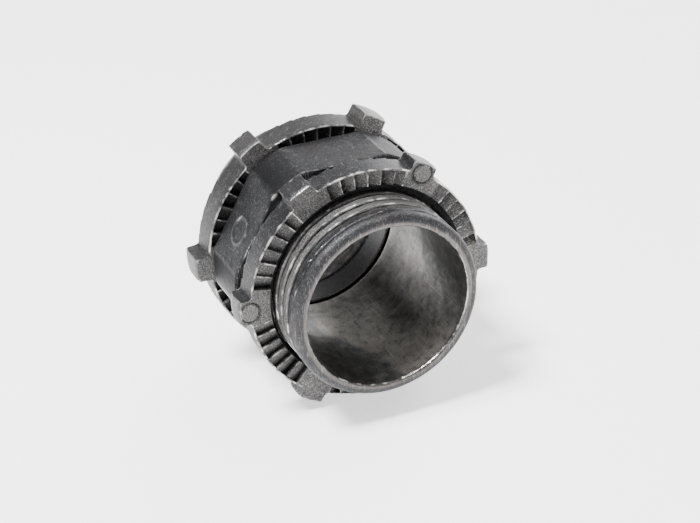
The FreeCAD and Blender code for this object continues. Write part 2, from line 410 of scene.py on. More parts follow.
@dataclass(frozen=True)
class CastZinc:
    """Raw die-cast zinc: dull grey, mottled, grainy, with painted shade in its hollows and burnished edges
    that carry painted highlights.
    """

    name: str
    tone: Tone
    mid: tuple = (0.140, 0.137, 0.136, 1.0)
    warm: tuple = (0.170, 0.140, 0.122, 1.0)
    sand: tuple = (0.400, 0.370, 0.335, 1.0)
    light: tuple = (0.480, 0.470, 0.450, 1.0)
    # Colour of metal worn bright and of painted highlights.
    bright: tuple = (0.800, 0.780, 0.750, 1.0)
    blue: tuple = (0.028, 0.029, 0.033, 1.0)
    # Near black, for dark grain and for painted shade.
    blackening: tuple = (0.006, 0.006, 0.007, 1.0)

    def make(self) -> bpy.types.Material:
        """Build the material.

        The colour starts from the tone, and each layer in turn lays its colour over it by its amount.

        Returns:
            The material, with colour, roughness and bump worked out from noise and the marks.
        """
        g = MaterialGraph(self.name)
        wear, hollow, grit = g.mark("wear"), g.mark("hollow"), g.mark("grit")
        pale, bore, warm = g.mark("pale"), g.mark("bore"), g.mark("warm")
        cloud = g.noise(6.0, 3.0, 0.55)
        mottle = g.noise(1.3, 4.0, 0.65)
        grain = g.noise(0.20, 2.0, 0.6)
        speck = g.noise(0.19, 2.0, 0.6)
        ding = g.noise(0.75, 3.0, 0.7)
        stain = g.noise(4.5, 2.0, 0.6)
        patch = g.noise(1.5, 2.0, 0.6)
        scratch = g.noise(0.24, 2.0, 0.5, stretch=(0.040, 1.0, 1.0))
        scuff = g.noise(0.14, 1.0, 0.5, stretch=(0.8, 1.0, 0.07))
        plain = (1.0 - grit) * (1.0 - bore)

        layers = [
            (cloud.ramp(0.38, 0.70) * 0.40 + pale * 0.65, self.mid),
            (mottle.ramp(0.45, 0.72) * 0.40, self.mid),
            (mottle.ramp(0.48, 0.32) * 0.45, self.blue),
            ((1.0 - grit) * cloud.ramp(0.62, 0.30) * 0.6, self.blue),
            (stain.ramp(0.52, 0.72) * 0.30 + warm * 0.60, self.warm),
            (grit * speck.ramp(0.50, 0.64) * 0.50, self.light),
            (grit * grain.ramp(0.55, 0.38) * 0.50, self.blackening),
            # The pale mark also brings painted reflections and highlights into these layers.
            (plain * (0.86 - pale * 0.45), self.blue),
            (bore * pale * 0.85, self.sand),
            (plain * pale * pale * 0.62, self.light),
            (bore * 0.40, self.mid),
            (bore * mottle.ramp(0.50, 0.66) * 0.22, self.light),
            (bore * mottle.ramp(0.50, 0.34) * 0.45, self.blackening),
            (bore * scratch.ramp(0.58, 0.68) * (0.10 + pale) * 0.40, self.light),
            (bore * grain.ramp(0.62, 0.40) * 0.25, self.blackening),
            (plain * scuff.ramp(0.58, 0.70) * 0.30, self.light),
            (plain * ding.ramp(0.60, 0.68) * 0.18, self.light),
            # Worn metal and painted highlights on edges.
            ((wear * (0.10 + patch.ramp(0.36, 0.66) * 1.10)).ramp(0.12, 0.80), self.bright),
            # Painted shade in grooves, recesses and on shaded sides.
            (hollow * (0.72 + grain * 0.35), self.blackening),
        ]
        base = (*self.tone.value, 1.0)
        for amount, colour in layers:
            base = g.blend(amount, base, colour)

        roughness = 0.33 + grit * grain * 0.30 + hollow * 0.25 - wear * 0.20 + mottle * 0.12
        height = grit * (grain * 1.2 + speck.ramp(0.45, 0.7) * 1.0) + mottle * 0.9 - bore * scratch * 0.25 \
            + plain * (scuff * 0.4 + ding.ramp(0.56, 0.66) * 0.7)
        normal = g.node("ShaderNodeBump", {}, {"Height": height, "Strength": 0.75, "Distance": 0.00008})
        g.set_shader(Base_Color=base, Roughness=roughness, Metallic=0.90, Normal=normal)
        return g.material


@dataclass(frozen=True)
class SpringSteel:
    """Plated steel strip with fine drawing lines round it."""

    name: str
    colour: tuple = (0.070, 0.070, 0.073, 1.0)
    dull: tuple = (0.030, 0.030, 0.032, 1.0)
    # Colour of the ring's front end and bevel, painted light.
    painted_light_face: tuple = (0.520, 0.500, 0.480, 1.0)

    def make(self) -> bpy.types.Material:
        """Build the material.

        Returns:
            The material.
        """
        g = MaterialGraph(self.name)
        lines = g.noise(0.3, 2.0, 0.5, stretch=(9.0, 0.6, 0.6))
        base = g.blend(lines.ramp(0.35, 0.7), self.colour, self.dull)
        base = g.blend(g.mark("wear"), base, self.painted_light_face)
        normal = g.node("ShaderNodeBump", {}, {"Height": lines, "Strength": 0.3, "Distance": 0.00003})
        g.set_shader(Base_Color=base, Roughness=0.38 + lines * 0.2, Metallic=0.95, Normal=normal)
        return g.material


# ---------------- the body


@dataclass
class Thread:
    """A cast pipe thread of fourteen turns to the inch."""

    pitch: float = 25.4 / 14
    depth: float = 0.80
    crest: float = 0.75
    start: float = 0.25 * 25.4 / 14

    def phase(self, angle: Array, x: Array, shift: float = 0.0) -> Array:
        """Place within one turn of the right-hand thread.

        Args:
            angle: Angles, in radians.
            x: Places along the axis.
            shift: How far along the axis the grooves are moved.

        Returns:
            Signed axial distance from the nearest groove's centre.
        """
        turn = x - (self.start + shift) - self.pitch * angle / (2.0 * math.pi)
        return turn - self.pitch * np.round(turn / self.pitch)

    def opening(self) -> float:
        """Width of the groove at the crest."""
        return self.pitch - self.crest

    def root(self) -> float:
        """Width of the groove's floor, for sixty-degree flanks."""
        return self.opening() - 2 * self.depth * SLOPE


@dataclass
class ConnectorBody:
    """The casting: nipple, hexagon and threaded boss round one bore."""

    throat_r: float = mount_radius("wire_throat")
    socket_r: float = mount_radius("conduit_socket")
    nipple_r: float = mount_radius("box_thread")
    flat_r: float = BODY.top
    corner_r: float = BODY.side
    boss_r: float = BODY.top - HEX_LEDGE
    nipple_end: float = BODY.front
    hex_back: float = NUT.front + NUT_GAP
    boss_back: float = BODY.back
    stop: float = -1.00
    mouth_r: float = RING.side + TAPER_GAP + (RING_ENTRY - RING_BEVEL) * SLOPE
    neck: float = 1.30
    mark_flat: float = 150.0
    mark_place: tuple = (-4.20, 1.10)
    mark_r: float = 2.15
    mark_stroke: float = 0.55
    mark_height: float = 0.16
    groove_width: float = 0.80
    groove_deep: float = 0.80
    groove_shift: float = -0.43
    neck_depth: float = 0.90
    rim_round: float = 1.10
    rim_middle: float = 12.08
    throat_round: float = 0.50
    edge_round: float = 0.30
    # Angle of the middle of the painted reflection in the bore.
    reflection_angle: float = 307.0

    def angles(self) -> Array:
        """Place the columns close together at the hexagon's edges and across the ring mark.

        Returns:
            Their angles, in radians.
        """
        facet = math.degrees(math.acos(self.flat_r / self.corner_r))
        edge = SECTOR / 2 - facet
        sectors = []
        for k in range(SIDES):
            middle = 52 if k == int(self.mark_flat // SECTOR) else 26
            rows = spread((0, 5), (edge - 0.6, 4), (edge + 0.6, 5), (18, middle), (48, 4),
                          (SECTOR - edge - 0.6, 4), (SECTOR - edge + 0.6, 5), (SECTOR, 1))
            sectors.append(rows[:-1] + k * SECTOR)
        return np.radians(np.concatenate(sectors))

    def profile(self) -> tuple[Array, Array, Array]:
        """The round section, from the rim back along the outside and forward through the bore.

        Returns:
            x and radius of each row, not a number where a later step gives it, and the row's
            zone: 0 nipple, 1 hexagon, 2 boss, 3 bore.
        """
        neck_r = self.nipple_r - self.neck_depth
        rear_neck_r = self.boss_r - self.neck_depth
        rim = self.nipple_end
        turn = np.radians(spread((90, 10), (5, 1)))
        lip = np.radians([12, 35, 58, 80])
        stretches = [
            (rim - self.rim_round * (1 - np.sin(turn)),
             self.rim_middle + (self.nipple_r - self.rim_middle) * np.cos(turn), 0),
            (spread((rim - self.rim_round - 0.10, 108), (self.neck + 0.3, 1)), None, 0),
            (np.array([self.neck, 0.5, 0.05]), np.full(3, neck_r), 0),
            (np.zeros(4), np.linspace(neck_r + 0.1, self.flat_r - 0.6, 4), 0),
            (spread((-0.00, 3), (-0.35, 6), (-1.9, 36), (-6.6, 6), (self.hex_back + 0.35, 3),
                    (self.hex_back, 1)), None, 1),
            (np.full(3, self.hex_back), np.linspace(self.flat_r - 0.6, rear_neck_r + 0.1, 3), 2),
            (np.array([self.hex_back - 0.1, self.hex_back - self.neck]), np.full(2, rear_neck_r), 2),
            (spread((self.hex_back - self.neck - 0.3, 24), (self.boss_back + 0.1, 1)), None, 2),
            (np.full(2, self.boss_back), np.array([self.boss_r - 0.4, self.mouth_r + 0.1]), 3),
            (spread((self.boss_back + 0.05, 5), (self.boss_back + 2.35, 1)),
             np.linspace(self.mouth_r, self.socket_r + 0.03, 6), 3),
            (spread((self.boss_back + 2.6, 6), (self.stop, 1)), np.full(7, self.socket_r), 3),
            (np.full(2, self.stop + 0.02), np.array([self.socket_r - 0.1, self.throat_r + 0.05]), 3),
            (spread((self.stop + 0.03, 1), (self.stop + 0.3, 20), (rim - 0.75, 1)),
             np.full(22, self.throat_r), 3),
            (rim - self.throat_round * (1 - np.sin(lip)),
             self.throat_r + 0.40 * (1 - np.cos(lip)) + 0.005, 3),
        ]
        xs = [x for x, _, _ in stretches]
        rs = [np.full(len(x), np.nan) if r is None else r for x, r, _ in stretches]
        zones = [np.full(len(x), zone) for x, _, zone in stretches]
        return np.concatenate(xs), np.concatenate(rs), np.concatenate(zones)

    def hexagon_radius(self, angle: Array, x: Array) -> Array:
        """Radius of the hexagon: flat_r / cos of the angle from the flat's middle, no more than corner_r.

        The smaller of the two is taken softly, and both ends are rounded.

        Args:
            angle: Angles, in radians.
            x: Places along the axis.

        Returns:
            The radius at each point.
        """
        away = (angle + math.pi / 6) % (math.pi / 3) - math.pi / 6
        flat = self.flat_r / np.cos(math.pi / 6 - np.abs(away))
        soft = 0.025
        radius = self.corner_r - soft * np.logaddexp(0, -(flat - self.corner_r) / soft)
        ends = np.minimum(-x, x - self.hex_back)
        capped = np.minimum(radius, self.corner_r - self.edge_round + np.clip(ends, 0, self.edge_round))
        return capped - 0.22 * np.exp(-ends / 0.12)

    def ring_mark(self, angle: Array, x: Array, radius: Array) -> Array:
        """Height of the plain raised ring on one flat: a round-topped band about a circle, worn in places.

        Args:
            angle: Angles, in radians.
            x: Places along the axis.
            radius: The hexagon's radius there.

        Returns:
            The height at each point.
        """
        turn = angle - math.radians(self.mark_flat)
        across = radius * np.sin(turn) - self.mark_place[1]
        along = x - self.mark_place[0]
        distance = np.hypot(across, along) - (self.mark_r - self.mark_stroke / 2)
        worn = 0.80 + 0.20 * np.sin(2 * np.arctan2(across, along) + 0.6)
        height = self.mark_height * worn * np.exp(-((distance / (self.mark_stroke / 2)) ** 2))
        return np.where(np.cos(turn) > 0.5, height, 0.0)

    def thread_rows(self, angle: Array, x: Array, skin: Skin, rows: Array) -> None:
        """Cut the nipple's thread: a crest with a rounded groove along a helix that fades out at the rim.

        Args:
            angle: Angles of the rows.
            x: Places of the rows.
            skin: Skin to change.
            rows: Which rows they are.
        """
        thread = Thread()
        around = np.stack([x, self.nipple_r * np.cos(angle), self.nipple_r * np.sin(angle)], axis=-1)
        wander = 0.07 * waves(around, 6.0, 5)
        width = self.groove_width * (1.0 + 0.16 * waves(around, 4.0, 6))
        gap = thread.phase(angle, x + wander, self.groove_shift)
        fade = smooth(-x, -11.7, -10.3)
        groove = np.clip(1.0 - np.abs(gap) / (width / 2), 0, 1)
        groove = groove * groove * (3 - 2 * groove)
        crown = 0.10 * np.clip(np.abs(np.abs(gap) - thread.pitch / 2) / (thread.pitch / 2), 0, 1) ** 3
        skin.r[:, rows] = self.nipple_r - fade * (self.groove_deep * groove + crown)
        # Painted highlight along each crest's edge, and painted shade in the grooves.
        edge = bump_at(gap, -0.42, 0.10) * np.clip(waves(around, 3.0, 7) + 0.25, 0, 1)
        lead = smooth(x, 9.6, 10.6)
        skin.mark(rows, wear=edge * smooth(-x, -11.9, -11.0), hollow=smooth(groove, 0.03, 0.35) * fade,
                  grit=(1.0 - 0.80 * lead) * (0.80 + 0.20 * waves(around, 8.0, 8)),
                  pale=0.85 * (1.0 - lead), warm=0.35 * lead * np.clip(waves(around, 9.0, 9), 0, 1))

    def paint_bore_reflection(self, angle: Array, x: Array, skin: Skin, rows: Array) -> None:
        """Paint a reflection and shade on the bore's lower side.

        The painted reflection is a wedge about one angle that widens with depth, brownish and scratched
        inside, with painted shade along its middle and palest along its two deep edges.

        Args:
            angle: Angles of the rows.
            x: Places of the rows.
            skin: Skin to change.
            rows: Which rows they are.
        """
        turn = np.degrees((angle - math.radians(self.reflection_angle) + math.pi) % (2 * math.pi) - math.pi)
        cloudy = waves(skin.points()[:, rows], 7.0, 17)
        half = 31.0 + 20.0 * smooth(-x, -10.0, 4.0) + 3.0 * cloudy
        inside = 1 - smooth(np.abs(turn), half - 7.0, half + 2.0)
        middle = bump_at(turn, 4.0, 11.0)
        deep = smooth(-x, -5.0, 1.0)
        edges = inside * smooth(np.abs(turn), half - 26.0, half - 8.0) * deep
        mouth = 1 - smooth(-x, -9.0, -2.0)
        reflected = (0.55 + 0.30 * cloudy) * (1 - middle * (1 - mouth)) + 0.35 * mouth
        # Painted light in the crevice at the back of the socket.
        recess = smooth(-x, 11.5, 12.2)
        pale = (inside * reflected + 0.30 * edges) * (1 - 0.70 * smooth(turn, 12.0, 30.0))
        # Painted shade deeper in, along the wedge's middle and beside it.
        dark = 0.30 * smooth(-x, 4.0, 11.0) + 0.40 * middle * (1 - mouth) + 0.22 * bump_at(turn, 26.0, 10.0)
        skin.mark(rows, bore=1.0, warm=inside * (0.55 + 0.25 * cloudy) * (1 - 0.6 * middle),
                  pale=pale + (0.12 + 0.9 * recess), hollow=dark * (1 - recess))

    def skin(self) -> Skin:
        """Work out the whole surface on its grid.

        Returns:
            The skin, with its marks and without the casting's unevenness.
        """
        thread = Thread()
        rows_x, rows_r, zone = self.profile()
        angle, x = np.meshgrid(self.angles(), rows_x, indexing="ij")
        r = np.broadcast_to(rows_r, x.shape).copy()
        skin = Skin(angle, x, r, {label: np.zeros_like(x) for label in MARKS})
        free = np.isnan(rows_r)

        crest = (zone == 0) & free
        self.thread_rows(angle[:, crest], x[:, crest], skin, crest)

        hexa = zone == 1
        turn, along = angle[:, hexa], x[:, hexa]
        r[:, hexa] = self.hexagon_radius(turn, along)
        mark = self.ring_mark(turn, along, r[:, hexa])
        r[:, hexa] += mark
        away = (turn + math.pi / 6) % (math.pi / 3) - math.pi / 6
        edge = np.abs(away) - (math.pi / 6 - math.acos(self.flat_r / self.corner_r))
        ends = np.minimum(-along, along - self.hex_back)
        patchy = np.clip(0.5 + 0.6 * waves(skin.points()[:, hexa], 4.0, 15), 0, 1)
        # Worn metal and painted highlights along the hexagon's edges and ends and on the raised ring mark.
        wear = patchy * np.maximum(0.16 * bump_at(edge, 0.0, 0.014), 0.60 * bump_at(ends, 0.16, 0.12))
        raised = mark / self.mark_height
        # Painted shade on the flat round the ring mark and down the middle of every flat; the flats facing
        # down are painted pale as a reflection of the floor, the top ones a little, and the raised ring mark
        # is painted pale as a highlight.
        shaded_side = smooth(np.cos(turn - math.radians(self.mark_flat)), 0.75, 0.95)
        middle = 1 - smooth(np.abs(np.degrees(away)), 7.6, 9.2)
        up = np.sin(turn)
        skin.mark(hexa, wear=wear + 0.62 * raised, grit=0.22, hollow=0.04 + 0.40 * shaded_side + 0.55 * middle,
                  pale=smooth(-up, 0.0, 0.22) + 0.6 * raised + 0.16 * smooth(up, 0.75, 0.95))

        boss = (zone == 2) & free
        gap = thread.phase(angle[:, boss], x[:, boss])
        groove = groove_depth(gap, thread.root(), thread.opening())
        r[:, boss] = self.boss_r - thread.depth * groove
        # Painted shade in the boss's thread grooves.
        skin.mark(boss, hollow=0.6 * groove, grit=0.7)

        # Painted shade in the neck behind the thread and on the hexagon's front face.
        skin.mark((zone == 0) & (rows_x < self.neck + 0.01) & ~free, hollow=0.85)
        skin.mark((zone == 0) & (rows_x == 0.0), hollow=0.15, grit=0.75)
        # On the rim, painted shade on the rounding outside the pale brownish band.
        rim = (zone == 0) & (rows_x > self.nipple_end - 1.15)
        band = smooth(-rows_r[rim], -12.30, -12.02)[None, :]
        uneven = waves(skin.points()[:, rim], 5.0, 19)
        skin.mark(rim, pale=(0.20 + 0.15 * uneven) * band, grit=0.35, hollow=0.26 * (1 - band),
                  warm=band + 0.35 * (1 - band) * np.clip(uneven, 0, 1))
        inner = zone == 3
        # Painted reflection and shade in the bore.
        self.paint_bore_reflection(angle[:, inner], x[:, inner], skin, inner)
        # Painted highlight along the throat's inner edge.
        lip = inner & (rows_x > self.nipple_end - self.throat_round)
        skin.mark(lip, wear=0.75 * bump_at(rows_x[lip], self.nipple_end - 0.22, 0.12)[None, :],
                  bore=0.3, pale=0.25, warm=0.70)
        return skin

    def build(self) -> bpy.types.Object:
        """Make the piece.

        Returns:
            The body's object.
        """
        skin = self.skin()
        shift = cast_unevenness(skin.points(), 11)
        near_rim = smooth(skin.x, self.nipple_end - 2.0, self.nipple_end - 0.5)
        inside = smooth(-skin.r, -12.3, -11.9)
        skin.r = skin.r + shift * (1.0 - 0.65 * np.maximum(near_rim, inside))
        quads = grid_quads(*skin.x.shape, wrap_columns=True)
        return make_piece("body_casting", "connector_body", skin, quads[:, ::-1], [], 40.0)


# ---------------- the lugged nuts


@dataclass
class LuggedNut:
    """What the locknut and the compression nut share: rim, lugs and ratchet teeth.

    Each nut adds inside, the rows from its back face through the bore to its front face, and
    back_inner and front_inner, the radii where the two faces start.
    """

    name: str
    node: str
    bore_r: float
    rim_r: float
    lug_height: float
    front: float
    back: float
    turn: float
    seed: int
    # Painted shade on the teeth, 0 to 1.
    blackening: float = 0.0
    wash: float = 0.0
    front_tooth: float = 0.95
    back_tooth: float = 0.45
    tooth_angle: float = 7.05
    first_wall: float = 13.5
    teeth: int = 6
    tooth_rim: float = 0.26
    lug_half_width: float = 1.75
    disc_r: float = 1.25
    discs: bool = True
    # Side of the nut whose outside gets painted shade.
    shaded_side_angle: float = 165.0

    def columns(self) -> tuple[Array, Array, Array, Array]:
        """Columns of one sector, from one lug's middle to the next.

        A lug's side is straight and steep with a small fillet at its foot. A tooth is a ramp that falls
        with growing angle to the foot of the next tooth's wall.

        Returns:
            Angle in degrees, reach (0 at the rim, 1 at the lug's tip), tooth drop (0 at the crest, 1 at
            the foot of the next wall) and the tooth's number, -1 on the lugs.
        """
        tip = math.degrees(math.asin(self.lug_half_width / (self.rim_r + self.lug_height)))
        side = [(tip - 0.30, 0.995), (tip - 0.08, 0.965), (tip + 0.06, 0.88), (tip + 0.26, 0.58),
                (tip + 0.46, 0.33), (tip + 0.72, 0.17), (tip + 1.15, 0.06), (tip + 1.8, 0.0)]
        lug = [(a, 1.0) for a in spread((0, 9), (tip - 0.30, 1))[:-1]] + side
        table = [(a, reach, 0.0, -1) for a, reach in lug]
        for k in range(self.teeth):
            wall = self.first_wall + k * self.tooth_angle
            foot = wall - self.tooth_angle if k else tip + 2.1
            for along in (0.02, 0.07, 0.16, 0.34, 0.56, 0.78, 0.96, 0.985):
                table.append((foot + along * (wall - foot), 0.0, max(0.0, along * 1.02 - 0.02), k))
        table.append((wall + 0.10, 0.0, 0.0, -1))
        table += [(SECTOR - a, reach, 0.0, -1) for a, reach in reversed(lug[1:])]
        angle, reach, drop, tooth = np.array(table).T
        return angle, reach, drop, tooth

    def all_columns(self) -> tuple[Array, Array, Array, Array, Array]:
        """Repeat the sector six times, with each tooth a little deeper or shallower than the next.

        Returns:
            Angle in radians without the nut's turn, reach, drop, tooth's number and lug's number.
        """
        angle, reach, drop, tooth = self.columns()
        angles = np.concatenate([angle + k * SECTOR for k in range(SIDES)])
        lug = np.round(angles / SECTOR).astype(int) % SIDES
        rng = np.random.default_rng(self.seed)
        cast = rng.uniform(0.50, 1.05, size=(SIDES, self.teeth + 1))
        cast[:, -1] = 1.0
        drops = np.concatenate([drop * cast[k, tooth.astype(int)] for k in range(SIDES)])
        return np.radians(angles), np.tile(reach, SIDES), drops, np.tile(tooth, SIDES), lug

    def outer_r(self, reach: Array) -> Array:
        """Radius of the rim or lug for a reach."""
        return self.rim_r + self.lug_height * reach

    def face(self, outward: int, place: float, depth: float, through: bool,
             inner: float | Array) -> Rows:
        """Rows of one toothed face, from the bore out to the edge.

        A row's radius is fixed up to the end of the teeth and then goes evenly out to the edge. Its
        place is the face's, less the tooth's depth times the drop.

        Args:
            outward: +1 for the front face, -1 for the back.
            place: x of the face.
            depth: Depth of its teeth.
            through: Whether the teeth run out through the rim.
            inner: Radius where the face starts, one number or one for each column.

        Returns:
            Its rows.
        """
        _, reach, drop, tooth, _ = self.all_columns()
        end = self.rim_r - self.tooth_rim
        base = np.linspace(np.broadcast_to(inner, reach.shape), end - 0.08, 12, axis=-1)
        outer = np.concatenate([[end], np.full(8, end + 0.03)])
        base = np.concatenate([base, np.broadcast_to(outer, (len(reach), len(outer)))], axis=-1)
        share = np.concatenate([np.zeros(14), spread((0.12, 6), (0.98, 1))])
        edge = self.outer_r(reach) - 0.07
        r = base + share[None, :] * (edge[:, None] - base)
        rows = r.shape[1]
        toothed = np.ones(rows) if through else (np.arange(rows) < 12).astype(float)
        fall = drop[:, None] * toothed[None, :]
        x = place - outward * depth * fall
        on_tooth = (tooth >= 0)[:, None] * toothed[None, :]
        crest = np.exp(-((drop[:, None] / 0.06) ** 2)) * on_tooth
        rim = 1.0 - smooth(self.outer_r(reach)[:, None] - r, 0.10, 0.30)
        lip = (1 - toothed[None, :]) * (tooth >= 0)[:, None]
        # Painted shade takes the highlight off the crests near the bore.
        crest = crest * (1 - self.blackening * (1 - smooth(r, end - 0.75, end - 0.45)))
        # Painted highlights on the tooth crests and along the outer rim, a little on the lip; painted shade
        # down each tooth's fall and over the teeth.
        wear = np.maximum(np.maximum(0.60 * crest, 0.75 * rim), 0.25 * lip)
        hollow = np.maximum(smooth(fall, 0.35, 1.0) * 0.85, self.blackening * smooth(fall, 0.02, 0.12) * on_tooth)
        marks = {"wear": wear, "hollow": hollow, "grit": 0.9 + 0 * x, "pale": 0.55 + 0.35 * lip + 0 * x}
        return x, r, marks

    def outside(self) -> Rows:
        """Rows over the rim and lug tops, from front to back, the lug tops slightly barrelled.

        Returns:
            Its rows.
        """
        angle, reach, drop, tooth, _ = self.all_columns()
        thick = self.front - self.back
        along = spread((0.015, 2), (0.05, 8), (0.93, 3), (0.985, 1))
        fall = drop[:, None] * smooth(along[None, :], 0, 1)
        x = self.front - thick * along[None, :] + self.back_tooth * fall
        middle = np.abs(along * 2 - 1)[None, :]
        barrel = 0.22 * reach[:, None] * middle ** 6 + 0.05 * middle ** 16
        r = self.outer_r(reach)[:, None] - barrel
        # Painted highlights along the front and back edges, brightest on the tooth crests, and along the
        # lugs' sides.
        front_edge = bump_at(along * thick, 0.08, 0.12)[None, :]
        spikes = np.where((tooth >= 0) & (drop < 0.1), 1.0, 0.35)[:, None]
        back_edge = bump_at((1 - along) * thick, 0.05, 0.14)[None, :] * spikes
        side = bump_at(reach, 0.95, 0.04)[:, None]
        wear = np.maximum(np.maximum(0.70 * front_edge, 0.75 * back_edge), 0.50 * side)
        # Painted shade at each lug's foot and on one side of the nut.
        shaded_side = smooth(np.cos(angle - math.radians(self.shaded_side_angle)), 0.55, 0.95)
        hollow = (0.45 * bump_at(reach, 0.12, 0.10) + 0.26 * shaded_side)[:, None] + 0 * x
        rough = 0.16 + 0.30 * self.wash
        marks = {"wear": wear + 0 * x, "hollow": hollow, "grit": rough + 0 * x,
                 "pale": self.wash + 0.20 * reach[:, None] + 0 * x}
        return x, r, marks

    def disc(self, angle: Array, x: Array, r: Array, lug: Array) -> tuple[Array, Array, Array]:
        """Round ejector marks on every other lug of the front face, each inside a fine sunk ring.

        Args:
            angle: Column angles in radians, without the nut's turn.
            x: Places along the axis.
            r: Radii.
            lug: Number of each column's lug.

        Returns:
            Height above the face, how far each point is on a disc, and how far it is in its sunk ring.
        """
        centre = np.round(angle / (math.pi / 3)) * (math.pi / 3)
        distance = np.hypot(r * np.sin(angle - centre), r * np.cos(angle - centre) - self.rim_r)
        marked = (lug % 2 == 1)[:, None] & self.discs
        on = np.where(marked, 1 - smooth(distance, self.disc_r - 0.10, self.disc_r + 0.02), 0.0)
        ring = np.where(marked, bump_at(distance, self.disc_r + 0.12, 0.11), 0.0)
        return 0.14 * on - 0.10 * ring, on, ring

    def build(self) -> bpy.types.Object:
        """Make the piece.

        Returns:
            The nut's object, in its place and turned by its rest angle.
        """
        angle, _, _, _, lug = self.all_columns()
        x, r, marks = self.face(1, self.front, self.front_tooth, False, self.front_inner(angle))
        raised, disc, ring = self.disc(angle[:, None], x, r, lug)
        marks["pale"] = np.maximum(marks["pale"] - 0.3 * ring, 0.85 * disc)
        # Painted shade in each disc's sunk ring.
        marks["hollow"] = np.maximum(marks["hollow"], 0.75 * ring)
        marks["wear"] = marks["wear"] * (1 - disc)
        front = (x + raised, r, marks)
        x, r, marks = self.face(-1, self.back, self.back_tooth, True, self.back_inner())
        back = (x[:, ::-1], r[:, ::-1], {label: values[:, ::-1] for label, values in marks.items()})
        parts = [front, self.outside(), back, self.inside(angle[:, None])]
        x = np.concatenate([part[0] for part in parts], axis=1)
        r = np.concatenate([part[1] for part in parts], axis=1)
        marks = {label: np.concatenate([part[2].get(label, 0 * part[0]) for part in parts], axis=1)
                 for label in MARKS}
        turned = np.broadcast_to(angle[:, None] + math.radians(self.turn), x.shape)
        skin = Skin(turned, x, r, marks)
        shift = cast_unevenness(skin.points(), self.seed)
        skin.x = skin.x + 0.5 * shift
        skin.r = skin.r + 0.6 * shift
        quads = grid_quads(*x.shape, wrap_columns=True)
        return make_piece(self.name, self.node, skin, quads[:, ::-1], [], 32.0)


@dataclass
class Locknut(LuggedNut):
    """The nut on the nipple, countersunk in front, with a plain running bore."""

    mouth: float = 1.10
    mouth_angle: float = 70.0

    def mouth_width(self, angle: Array) -> Array:
        """Width of the countersink, which is off centre: widest at the top, narrowest below."""
        return self.mouth * (0.66 + 0.34 * np.cos(angle - math.radians(self.mouth_angle)))

    def front_inner(self, angle: Array) -> Array:
        """The countersink's outer radius."""
        return self.bore_r + self.mouth_width(angle)

    def back_inner(self) -> float:
        """The back chamfer's outer radius."""
        return self.bore_r + self.mouth / 2

    def inside(self, angle: Array) -> Rows:
        """Thread rows between the two mouths.

        Args:
            angle: Column angles in radians, without the nut's turn.

        Returns:
            Its rows.
        """
        thread = Thread()
        rows = spread((self.back + 0.2, 4), (self.back + 0.55, 20), (self.front - 0.9, 4),
                      (self.front - 0.15, 1))
        x = np.broadcast_to(rows, (angle.shape[0], len(rows))).copy()
        gap = thread.phase(angle, x)
        groove = groove_depth(gap, thread.pitch * 0.2, thread.pitch * 0.6)
        mouth = np.maximum(self.mouth_width(angle) * smooth(x, self.front - 1.0, self.front),
                           0.5 * self.mouth * (1 - smooth(x, self.back, self.back + 0.55)))
        r = self.bore_r + np.maximum(0.56 * groove, mouth)
        # Painted shade all through the bore.
        return x, r, {"hollow": 0.80 + 0.0 * x, "grit": 0.8 + 0.0 * x}


